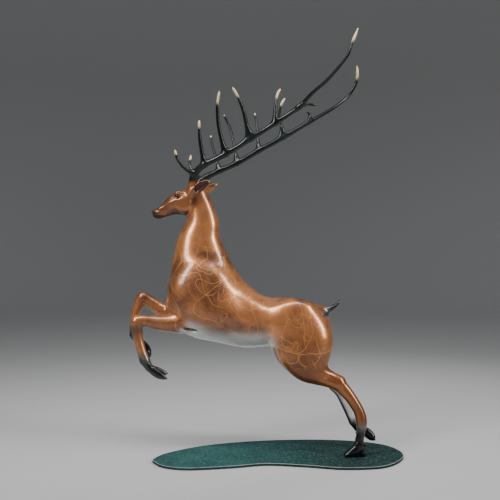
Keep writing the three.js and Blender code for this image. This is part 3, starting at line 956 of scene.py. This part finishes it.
class Nodes:
    """A short hand for building a node tree."""

    def __init__(self, tree: bpy.types.NodeTree) -> None:
        """Keeps the tree that nodes are added to."""
        self.tree = tree

    def add(self, kind: str, inputs: dict[Any, Any] | None = None, **settings: Any) -> bpy.types.Node:
        """Adds a node.

        Args:
            kind: the node's type.
            inputs: what goes into its sockets, by name or number: a value, or a socket to link.
            **settings: its other properties.

        Returns:
            The node.
        """
        node = self.tree.nodes.new(kind)
        for name, value in settings.items():
            setattr(node, name, value)
        for name, value in (inputs or {}).items():
            if isinstance(value, bpy.types.NodeSocket):
                self.tree.links.new(value, node.inputs[name])
            else:
                node.inputs[name].default_value = value
        return node

    def group(self, tree: bpy.types.NodeTree, **inputs: Any) -> Any:
        """The outputs of a node group, given its inputs by their names."""
        return self.add("ShaderNodeGroup", inputs, node_tree=tree).outputs

    def vector(self, operation: str, *values: Any) -> Any:
        """The outputs of a Vector Math node on sockets or vectors."""
        return self.add("ShaderNodeVectorMath", dict(enumerate(values)), operation=operation).outputs

    def math(self, operation: str, *values: Any, clamp: bool = False) -> bpy.types.NodeSocket:
        """The result of a Math node on sockets or numbers."""
        node = self.add("ShaderNodeMath", dict(enumerate(values)), operation=operation, use_clamp=clamp)
        return node.outputs[0]

    def mix(self, share: Any, first: Any, second: Any) -> bpy.types.NodeSocket:
        """A mix of two colours."""
        node = self.add("ShaderNodeMix", data_type="RGBA")
        for index, value in ((0, share), (6, first), (7, second)):
            if isinstance(value, bpy.types.NodeSocket):
                self.tree.links.new(value, node.inputs[index])
            else:
                node.inputs[index].default_value = (*value, 1.0) if isinstance(value, tuple) else value
        return node.outputs[2]

    def tint(self, under: Any, share: Any, amount: float, over: Any) -> bpy.types.NodeSocket:
        """A colour with another one over it, as strongly as the share times the amount."""
        return self.mix(self.math("MULTIPLY", share, amount), under, over)

    def blend(self, share: Any, first: Any, second: Any) -> bpy.types.NodeSocket:
        """A mix of two numbers."""
        node = self.add("ShaderNodeMix", {0: share, 2: first, 3: second}, data_type="FLOAT")
        return node.outputs[0]

    def noise(self, where: Any, scale: Any, detail: float = 4.0, rough: float = 0.55, seed: Any = 0.0,
              twist: float = 0.0) -> bpy.types.NodeSocket:
        """The value of a noise that is another one for each seed."""
        node = self.add("ShaderNodeTexNoise", {
            "Vector": where, "W": seed, "Scale": scale, "Detail": detail, "Roughness": rough,
            "Distortion": twist,
        }, noise_dimensions="4D")
        return node.outputs[0]

    def steps(self, value: Any, low: float, high: float) -> bpy.types.NodeSocket:
        """A soft step from 0 at low to 1 at high."""
        node = self.add("ShaderNodeMapRange", {0: value, 1: low, 2: high}, interpolation_type="SMOOTHSTEP")
        return node.outputs[0]


def new_material(name: str) -> tuple[bpy.types.Material, Nodes]:
    """Starts a material with an empty node tree."""
    material = bpy.data.materials.new(name)
    material.use_nodes = True
    material.node_tree.nodes.clear()
    return material, Nodes(material.node_tree)


def new_group(name: str, inputs: Sequence[tuple[str, str]], outputs: Sequence[str]) -> tuple[Nodes, Any, Any]:
    """Starts a shader node group.

    Args:
        name: the group's name.
        inputs: each input's name and socket type.
        outputs: the name of each number that it puts out.

    Returns:
        Its nodes, its input node and its output node.
    """
    tree = bpy.data.node_groups.new(name, "ShaderNodeTree")
    for label, kind in inputs:
        tree.interface.new_socket(label, in_out="INPUT", socket_type=kind)
    for label in outputs:
        tree.interface.new_socket(label, in_out="OUTPUT", socket_type="NodeSocketFloat")
    nodes = Nodes(tree)
    return nodes, nodes.add("NodeGroupInput"), nodes.add("NodeGroupOutput")


def clouds_group() -> bpy.types.NodeTree:
    """Cloudy patches as a patina leaves them, with fine flecks."""
    nodes, given, result = new_group(
        "patina clouds",
        [("Vector", "NodeSocketVector"), ("Scale", "NodeSocketFloat"), ("Seed", "NodeSocketFloat")],
        ["Clouds", "Flecks"],
    )
    where, scale, seed = given.outputs[0], given.outputs[1], given.outputs[2]
    broad = nodes.noise(where, scale, detail=6, rough=0.6, seed=seed, twist=0.6)
    fine = nodes.noise(where, nodes.math("MULTIPLY", scale, 9.0), detail=3, seed=seed)
    nodes.tree.links.new(nodes.steps(broad, 0.36, 0.62), result.inputs[0])
    nodes.tree.links.new(nodes.steps(fine, 0.56, 0.72), result.inputs[1])
    return nodes.tree


def wandering_lines_group() -> bpy.types.NodeTree:
    """Thin lines of even width that wander and close in loops, along the level of a broad noise."""
    nodes, given, result = new_group(
        "wandering lines",
        [("Vector", "NodeSocketVector"), ("Scale", "NodeSocketFloat"), ("Width", "NodeSocketFloat"),
         ("Seed", "NodeSocketFloat")],
        ["Line"],
    )
    where, scale, width, seed = (given.outputs[i] for i in range(4))
    step = 0.0008  # m, between the places where the noise's slope is taken
    least_slope = 0.02  # as a share of the scale, so that no line widens without end
    faint, full = 0.14, 0.3  # the slopes between which a line fades in, as shares of the scale
    wander = {"detail": 1.0, "rough": 0.4, "seed": seed}
    here = nodes.noise(where, scale, **wander)
    rises = nodes.add("ShaderNodeCombineXYZ")
    for axis in range(3):
        beside = nodes.vector("ADD", where, tuple(step if k == axis else 0.0 for k in range(3)))[0]
        rise = nodes.math("SUBTRACT", nodes.noise(beside, scale, **wander), here)
        nodes.tree.links.new(rise, rises.inputs[axis])
    outward = nodes.add("ShaderNodeNewGeometry").outputs["Normal"]
    lost = nodes.vector("PROJECT", rises.outputs[0], outward)[0]
    along = nodes.vector("SUBTRACT", rises.outputs[0], lost)[0]
    slope = nodes.math("DIVIDE", nodes.vector("LENGTH", along)["Value"], step)
    off = nodes.math("ABSOLUTE", nodes.math("SUBTRACT", here, 0.5))
    least = nodes.math("MULTIPLY", scale, least_slope)
    reach = nodes.math("DIVIDE", off, nodes.math("MAXIMUM", slope, least))
    share = nodes.math("DIVIDE", reach, width)
    steep = nodes.steps(nodes.math("DIVIDE", slope, scale), faint, full)
    line = nodes.math("MULTIPLY", nodes.steps(share, 1.0, 0.45), steep)
    nodes.tree.links.new(line, result.inputs[0])
    return nodes.tree


@dataclass(frozen=True)
class CoatFinish:
    """The stag's glossy patina: its colours, and how it shines."""

    name: str = "glossy brown patina"
    bright: Colour = (0.60, 0.225, 0.080)
    brown: Colour = (0.13, 0.046, 0.019)
    fleck: Colour = (0.62, 0.27, 0.09)
    pale: Colour = (0.67, 0.66, 0.64)
    umber: Colour = (0.14, 0.040, 0.007)
    grey: Colour = (0.12, 0.115, 0.10)
    black: Colour = (0.005, 0.005, 0.006)
    # the dark of the muzzle, ears and eyes, also used for the painted shade under and behind the jaw
    dark: Colour = (0.016, 0.008, 0.005)
    teal: Colour = (0.008, 0.015, 0.014)
    ivory: Colour = (0.78, 0.62, 0.38)
    gold: Colour = (1.0, 0.44, 0.10)
    metallic: float = 0.55
    roughness: tuple[float, float] = (0.24, 0.42)
    gloss: float = 0.9
    dull_gloss: float = 0.55
    hollow_gloss: float = 0.4
    coat_roughness: float = 0.09
    line_width: float = 0.00046
    line_strength: float = 0.55
    # Each set of lines: its scale, its seed, and the noise levels between which its patches begin
    line_sets: tuple[tuple[float, float, tuple[float, float]], ...] = (
        (11.0, 3.1, (0.30, 0.36)), (15.0, 11.7, (0.38, 0.44)), (20.0, 27.4, (0.42, 0.48)),
        (26.0, 33.9, (0.46, 0.50)), (44.0, 20.3, (0.52, 0.56)), (52.0, 51.3, (0.50, 0.54)),
    )

    def lines(self, nodes: Nodes, where: Any, group: bpy.types.NodeTree) -> bpy.types.NodeSocket:
        """Where all the sets of lines run, each in patches of its own."""
        whole = None
        for scale, seed, room in self.line_sets:
            drawn = nodes.group(group, Vector=where, Scale=scale, Width=self.line_width, Seed=seed)[0]
            patch = nodes.steps(nodes.noise(where, 7.0, detail=1, seed=seed + 40.0), *room)
            drawn = nodes.math("MULTIPLY", drawn, patch)
            whole = drawn if whole is None else nodes.math("MAXIMUM", whole, drawn)
        return whole

    def build(self, clouds: bpy.types.NodeTree, lines: bpy.types.NodeTree) -> bpy.types.Material:
        """Makes the material.

        Args:
            clouds: the group of patina clouds.
            lines: the group of wandering lines.

        Returns:
            The material, which reads the skin's regions by their names.
        """
        material, nodes = new_material(self.name)
        where = nodes.add("ShaderNodeTexCoord").outputs["Object"]
        place = nodes.add("ShaderNodeSeparateXYZ", {0: where}).outputs
        share = {
            region: nodes.add("ShaderNodeAttribute", attribute_name=region.value).outputs["Fac"]
            for region in Region
        }

        def area(across: tuple[float, float], up: tuple[float, float]) -> bpy.types.NodeSocket:
            """A soft-edged area, by where it begins and where it is whole, along x and z in metres."""
            return nodes.math("MULTIPLY", nodes.steps(place[0], *across), nodes.steps(place[2], *up))

        broad = nodes.group(clouds, Vector=where, Scale=17.0, Seed=2.0)
        small = nodes.group(clouds, Vector=where, Scale=46.0, Seed=7.0)
        mottle = nodes.math("MULTIPLY", broad[0], nodes.blend(small[0], 0.72, 1.0))
        hind = area((-0.03, 0.03), (0.21, 0.13))
        head = area((-0.122, -0.142), (0.345, 0.36))
        uneven = nodes.math("SUBTRACT", nodes.noise(where, 30.0, detail=5, seed=4.0), 0.5)
        ragged = nodes.math("ADD", share[Region.ANTLER], nodes.math("MULTIPLY", uneven, 0.4))

        colour = nodes.mix(mottle, self.bright, self.brown)
        colour = nodes.tint(colour, small[1], 0.35, self.fleck)
        colour = nodes.tint(colour, hind, 0.7, self.umber)
        colour = nodes.tint(colour, head, 0.45, self.umber)
        cool = nodes.tint(self.pale, broad[0], 0.25, self.grey)
        colour = nodes.mix(nodes.steps(share[Region.PALE], 0.05, 0.95), colour, cool)
        line = nodes.math("MULTIPLY", self.lines(nodes, where, lines), share[Region.COAT])
        colour = nodes.tint(colour, line, self.line_strength, self.gold)
        colour = nodes.mix(nodes.steps(share[Region.SOCK], 0.0, 0.5), colour, self.grey)
        colour = nodes.mix(nodes.steps(share[Region.SOCK], 0.45, 0.95), colour, self.black)
        # the dark muzzle, ears and eyes, and painted shade under and behind the jaw
        colour = nodes.mix(share[Region.DARK], colour, self.dark)
        horn = nodes.mix(broad[0], self.black, self.teal)
        colour = nodes.mix(nodes.steps(ragged, 0.12, 0.88), colour, horn)
        colour = nodes.mix(share[Region.TIP], colour, self.ivory)

        metal = nodes.blend(share[Region.PALE], self.metallic, 0.15)
        metal = nodes.blend(share[Region.TIP], metal, 0.25)
        gloss = nodes.blend(nodes.math("MAXIMUM", hind, share[Region.ANTLER]), self.gloss, self.dull_gloss)
        gloss = nodes.blend(share[Region.DARK], gloss, self.hollow_gloss)
        grain = nodes.noise(where, 900.0, detail=3, seed=1.0)
        dents = nodes.noise(where, 70.0, detail=2, seed=9.0)
        height = nodes.math("ADD", nodes.math("MULTIPLY", grain, 0.12), dents)
        bump = nodes.add("ShaderNodeBump", {"Height": height, "Strength": 0.05, "Distance": 0.0012})
        shader = nodes.add("ShaderNodeBsdfPrincipled", {
            "Base Color": colour, "Roughness": nodes.blend(mottle, *self.roughness), "Metallic": metal,
            "Normal": bump.outputs[0], "Coat Weight": gloss, "Coat Roughness": self.coat_roughness,
            "Coat IOR": 1.5,
        })
        nodes.add("ShaderNodeOutputMaterial", {"Surface": shader.outputs[0]})
        return material


@dataclass(frozen=True)
class PlateFinish:
    """The plate's mottled green patina, with a pale rim that is partly rubbed bare and partly a painted
    highlight, and painted shade on its side and underside.
    """

    name: str = "mottled green patina"
    turquoise: Colour = (0.038, 0.132, 0.122)
    green: Colour = (0.014, 0.050, 0.048)
    slate: Colour = (0.011, 0.020, 0.020)
    dusk: Colour = (0.032, 0.066, 0.070)
    fleck: Colour = (0.10, 0.21, 0.19)
    # the pale of a rubbed edge together with a painted highlight
    rim: Colour = (0.33, 0.37, 0.35)
    metallic: float = 0.0
    specular: float = 0.12

    def build(self, clouds: bpy.types.NodeTree) -> bpy.types.Material:
        """Makes the material, given the group of patina clouds."""
        material, nodes = new_material(self.name)
        where = nodes.add("ShaderNodeTexCoord").outputs["Object"]
        along = nodes.add("ShaderNodeSeparateXYZ", {0: where}).outputs[0]
        rim = nodes.add("ShaderNodeAttribute", attribute_name="rim").outputs["Fac"]
        broad = nodes.group(clouds, Vector=where, Scale=22.0, Seed=5.0)
        small = nodes.group(clouds, Vector=where, Scale=80.0, Seed=8.0)
        drift = nodes.math("ADD", along, nodes.math("MULTIPLY", nodes.noise(where, 9.0, seed=6.0), 0.2))
        left = nodes.math("MULTIPLY", nodes.steps(drift, 0.16, -0.02), nodes.blend(broad[0], 1.0, 0.55))
        grain = nodes.steps(nodes.noise(where, 260.0, detail=4, rough=0.75, seed=12.0), 0.44, 0.58)
        specks = nodes.steps(nodes.noise(where, 300.0, detail=3, rough=0.7, seed=15.0), 0.52, 0.62)

        colour = nodes.mix(left, self.green, self.turquoise)
        for share, amount, over in (
            (nodes.steps(drift, 0.10, 0.24), 0.92, self.slate),
            (nodes.steps(along, -0.13, -0.20), 0.6, self.dusk),
            (small[0], 0.35, self.green),
            (small[1], 0.5, self.fleck),
            (grain, 0.5, self.slate),
            (specks, 0.5, self.fleck),
        ):
            colour = nodes.tint(colour, share, amount, over)
        # the rim's pale: partly a rubbed edge, partly a painted highlight
        wear_and_painted_light = nodes.math("MULTIPLY", rim, nodes.blend(small[0], 1.0, 0.6), clamp=True)
        colour = nodes.mix(wear_and_painted_light, colour, self.rim)
        # painted shade on the plate's side and underside
        below = nodes.math("MULTIPLY", rim, -0.8, clamp=True)
        colour = nodes.mix(below, colour, self.slate)
        rough = nodes.blend(small[0], 0.5, 0.65)
        height = nodes.math("ADD", nodes.noise(where, 260.0, detail=4, seed=3.0), small[0])
        bump = nodes.add("ShaderNodeBump", {"Height": height, "Strength": 0.12, "Distance": 0.001})
        shader = nodes.add("ShaderNodeBsdfPrincipled", {
            "Base Color": colour, "Roughness": rough, "Normal": bump.outputs[0], "Metallic": self.metallic,
            "Specular IOR Level": self.specular, "IOR": 1.35,
        })
        nodes.add("ShaderNodeOutputMaterial", {"Surface": shader.outputs[0]})
        return material


@dataclass
class BasePlate:
    """The thin plate: a smooth kidney outline, filled and given its thickness by a node tree."""

    low: Vector
    high: Vector
    edge: float = 0.0006
    outline: tuple[tuple[float, float], ...] = (
        (-0.995, -0.5), (-0.9, 0), (-0.59, 0.57), (-0.1, 0.94), (0.48, 0.99), (0.88, 0.64), (1, -0.1),
        (0.82, -0.82), (0.5, -0.98), (0.2, -0.82), (-0.1, -0.71), (-0.36, -0.87), (-0.67, -1),
        (-0.83, -0.935), (-0.935, -0.755),
    )

    def outline_points(self, steps: int = 18) -> Array:
        """The smooth outline, with so many steps to a point, brought to the exact size of the plate."""
        ends = [*self.outline[-2:], *self.outline, *self.outline[:2]]
        dense = smooth_stations(ends, steps)[2 * steps : -2 * steps - 1]
        low, high = dense.min(axis=0), dense.max(axis=0)
        share = (dense - low) / (high - low)
        return np.array(self.low)[:2] + share * np.array(self.high - self.low)[:2]

    def tree(self, material: bpy.types.Material) -> bpy.types.NodeTree:
        """A node tree that fills a closed curve and gives it a thickness."""
        tree = bpy.data.node_groups.new("plate from outline", "GeometryNodeTree")
        tree.interface.new_socket("Geometry", in_out="INPUT", socket_type="NodeSocketGeometry")
        tree.interface.new_socket("Thickness", in_out="INPUT", socket_type="NodeSocketFloat")
        tree.interface.new_socket("Geometry", in_out="OUTPUT", socket_type="NodeSocketGeometry")
        nodes = Nodes(tree)
        given, result = nodes.add("NodeGroupInput"), nodes.add("NodeGroupOutput")
        fill = nodes.add("GeometryNodeFillCurve", {"Curve": given.outputs[0]}, mode="NGONS")
        rise = nodes.add("ShaderNodeCombineXYZ", {2: given.outputs[1]}).outputs[0]
        raised = {"Mesh": fill.outputs[0], "Offset": rise, "Individual": False}
        top = nodes.add("GeometryNodeExtrudeMesh", raised)
        under = nodes.add("GeometryNodeFlipFaces", {"Mesh": fill.outputs[0]})
        both = nodes.add("GeometryNodeJoinGeometry")
        for part in (top, under):
            tree.links.new(part.outputs[0], both.inputs[0])
        merged = nodes.add("GeometryNodeMergeByDistance", {"Geometry": both.outputs[0], "Distance": 1e-6})
        real = nodes.add("GeometryNodeRealizeInstances", {"Geometry": merged.outputs[0]})
        dressed = nodes.add("GeometryNodeSetMaterial", {"Geometry": real.outputs[0], "Material": material})
        tree.links.new(dressed.outputs[0], result.inputs[0])
        return tree

    def build(self, material: bpy.types.Material) -> bpy.types.Object:
        """Makes the plate's piece in the given material, with a soft edge above and below."""
        curve = bpy.data.curves.new("plate outline", "CURVE")
        curve.dimensions = "3D"
        spline = curve.splines.new("POLY")
        points = self.outline_points()
        spline.points.add(len(points) - 1)
        spline.use_cyclic_u = True
        for place, (x, y) in zip(spline.points, points):
            place.co = (x, y, self.low.z, 1.0)
        draft = link_object("plate outline", curve)
        modifier = draft.modifiers.new("plate", "NODES")
        modifier.node_group = self.tree(material)
        sockets = {item.name: item.identifier for item in modifier.node_group.interface.items_tree}
        modifier[sockets["Thickness"]] = self.high.z - self.low.z
        mesh = evaluated_mesh(draft)
        bpy.data.objects.remove(draft)
        piece = link_object("green_plate", mesh)
        bevel = piece.modifiers.new("soft edge", "BEVEL")
        bevel.width = self.edge
        bevel.segments = 4
        bevel.limit_method = "ANGLE"
        soft = evaluated_mesh(piece)
        piece.modifiers.clear()
        piece.data = soft
        soft.shade_smooth()
        soft.set_sharp_from_angle(angle=math.radians(40))
        self.mark_rim(soft)
        LOG.info("green_plate: %d faces", len(soft.polygons))
        return piece

    def mark_rim(self, mesh: bpy.types.Mesh) -> None:
        """Marks with 1 the faces of the upper edge, which take a pale rubbed rim and a painted highlight, and
        with -1 the ones below it, which take painted shade.
        """
        flat = np.empty(len(mesh.polygons) * 3)
        mesh.polygons.foreach_get("normal", flat)
        upward = flat.reshape(-1, 3)[:, 2]
        wear_and_painted_light = np.select([upward > 0.99, upward > 0.1], [0.0, 1.0], default=-1.0)
        layer = mesh.attributes.new("rim", "FLOAT", "FACE")
        layer.data.foreach_set("value", wear_and_painted_light.astype(np.float32))


@dataclass(frozen=True)
class SoftBox:
    """An area light, by its place, what it faces, its size and its power."""

    name: str
    place: Point
    towards: Point
    size: tuple[float, float]
    power: float
    spread: float = 75.0
    mirrored: bool = True

    def build(self) -> None:
        """Makes the light."""
        light = bpy.data.lights.new(self.name, "AREA")
        light.shape = "RECTANGLE"
        light.size, light.size_y = self.size
        light.energy = self.power
        light.spread = math.radians(self.spread)
        lamp = link_object(self.name, light)
        lamp.location = self.place
        lamp.visible_glossy = self.mirrored
        lamp.rotation_euler = (Vector(self.towards) - Vector(self.place)).to_track_quat("-Z", "Y").to_euler()


@dataclass
class Studio:
    """A pale floor that curves up around the figure, soft boxes and the camera."""

    floor: Colour = (0.52, 0.52, 0.515)
    sky: Colour = (0.8, 0.82, 0.85)
    sky_strength: float = 0.42
    camera_place: Point = (-0.0435, -1.35, 0.308)
    lens: float = 64.8
    boxes: tuple[SoftBox, ...] = (
        SoftBox("key", (-1.3, -1.3, 1.5), (-0.05, 0, 0.3), (0.5, 1.6), 6.8),
        SoftBox("side", (1.5, -0.9, 1.1), (0, 0, 0.3), (0.4, 1.5), 5.0),
        SoftBox("top", (0.0, -0.75, 1.75), (0, 0, 0.25), (1.8, 0.3), 3.2),
        SoftBox("back", (0.6, 1.6, 1.2), (0, 0, 0.3), (1.0, 0.8), 3.0, mirrored=False),
    )

    def build(self) -> None:
        """Makes the floor, the lights and the camera."""
        for box in self.boxes:
            box.build()
        world = bpy.data.worlds.new("studio")
        world.use_nodes = True
        background = world.node_tree.nodes["Background"].inputs
        background[0].default_value = (*self.sky, 1.0)
        background[1].default_value = self.sky_strength
        bpy.context.scene.world = world
        self.build_floor()
        camera = link_object("camera", bpy.data.cameras.new("camera"))
        camera.data.lens = self.lens
        camera.data.sensor_width = 36.0
        camera.location = self.camera_place
        camera.rotation_euler = (math.radians(90), 0, 0)
        bpy.context.scene.camera = camera

    def build_floor(self) -> None:
        """Makes the floor, a wide disc with a soft rise all round, so that every side has the same ground."""
        reach, bend, height, steps, around = 3.2, 1.4, 4.5, 12, 64
        middle, before_bend = 0.4, 0.98 * reach
        profile = [(middle, 0.0), (before_bend, 0.0), (reach, 0.0)]
        for i in range(1, steps + 1):
            turn = math.pi / 2 * i / steps
            profile.append((reach + bend * math.sin(turn), bend * (1 - math.cos(turn))))
        profile.append((reach + bend, height))
        turns = [2 * math.pi * i / around for i in range(around)]
        points = [(r * math.cos(turn), r * math.sin(turn), z) for r, z in profile for turn in turns]
        faces: list[Sequence[int]] = [list(range(around))]
        for row in range(len(profile) - 1):
            for i in range(around):
                after = (i + 1) % around
                low, high = row * around, (row + 1) * around
                faces.append((high + i, high + after, low + after, low + i))
        mesh = bpy.data.meshes.new("floor")
        mesh.from_pydata(points, [], faces)
        mesh.shade_smooth()
        material = bpy.data.materials.new("pale floor")
        material.use_nodes = True
        shader = material.node_tree.nodes["Principled BSDF"]
        shader.inputs["Base Color"].default_value = (*self.floor, 1.0)
        shader.inputs["Roughness"].default_value = 0.7
        mesh.materials.append(material)
        floor = link_object("floor", mesh)


def main() -> None:
    """Builds the sculpture in the frame, with its studio."""
    logging.basicConfig(level=logging.INFO, format="%(name)s: %(message)s")
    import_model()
    clouds, lines = clouds_group(), wandering_lines_group()
    plate_low, plate_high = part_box("base_plate")
    stag_low, stag_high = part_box("stag")
    LOG.info("frame: the stag stands from %.4f to %.4f m", stag_low.z, stag_high.z)
    hoof = Vector((plate_high.x - HOOF_FROM_END, plate_low.y + HOOF_FROM_SIDE, plate_high.z))
    stag = Stag().build(hoof + Vector((0, HIND_SPACING * MM, 0)))
    stag.data.materials.append(CoatFinish().build(clouds, lines))
    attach(stag, "root")
    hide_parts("stag")
    plate = BasePlate(plate_low, plate_high).build(PlateFinish().build(clouds))
    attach(plate, "root")
    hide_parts("base_plate")
    Studio().build()


if __name__ == "__main__":
    main()
